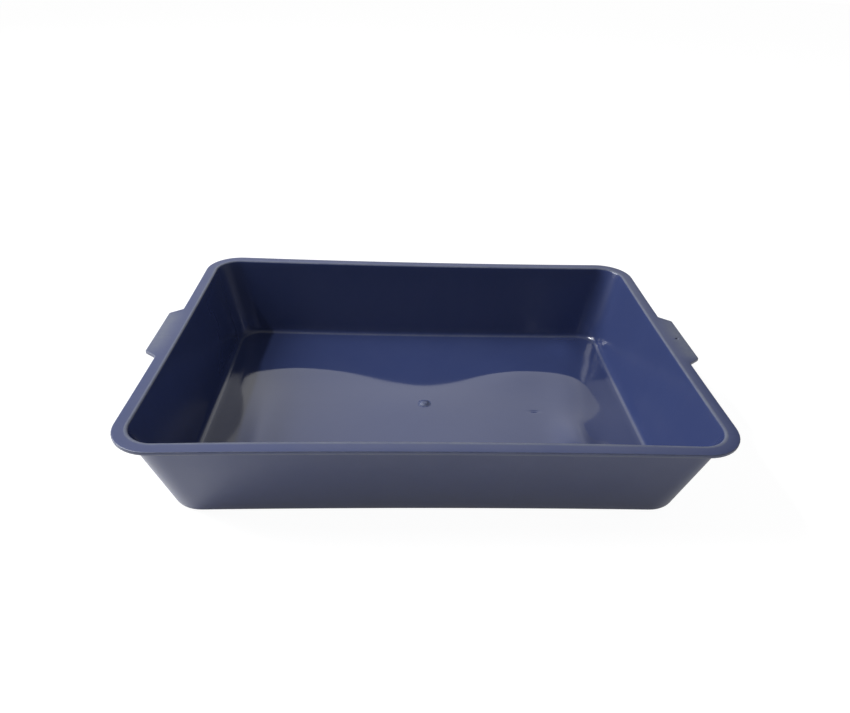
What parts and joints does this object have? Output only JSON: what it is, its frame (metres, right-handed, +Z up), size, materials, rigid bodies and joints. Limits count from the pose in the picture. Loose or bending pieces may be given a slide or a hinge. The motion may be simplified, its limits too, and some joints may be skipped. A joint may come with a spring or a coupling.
{
  "type": "mixing tray",
  "caption": "Shallow rectangular plastic tray for mixing and carrying plaster, with flared walls, rounded corners, a flat rim and a grip lug on each short side.",
  "frame": {"origin": "middle of the flat underside, which rests on the table", "axes": "+X along the tray towards the right grip lug, +Y across it towards the back wall, +Z up"},
  "size_m": [0.42, 0.3, 0.069],
  "materials": {
    "blue_plastic": "glossy moulded polypropylene, dark navy blue"
  },
  "bodies": {
    "root": {"floor_panel": "blue_plastic", "gate_boss": "blue_plastic", "front_foot": "blue_plastic", "back_foot": "blue_plastic", "left_foot": "blue_plastic", "right_foot": "blue_plastic", "front_wall": "blue_plastic", "back_wall": "blue_plastic", "left_wall": "blue_plastic", "right_wall": "blue_plastic", "front_left_corner": "blue_plastic", "front_right_corner": "blue_plastic", "back_left_corner": "blue_plastic", "back_right_corner": "blue_plastic", "rim_flange": "blue_plastic", "left_grip_lug": "blue_plastic", "right_grip_lug": "blue_plastic"}
  },
  "joints": []
}
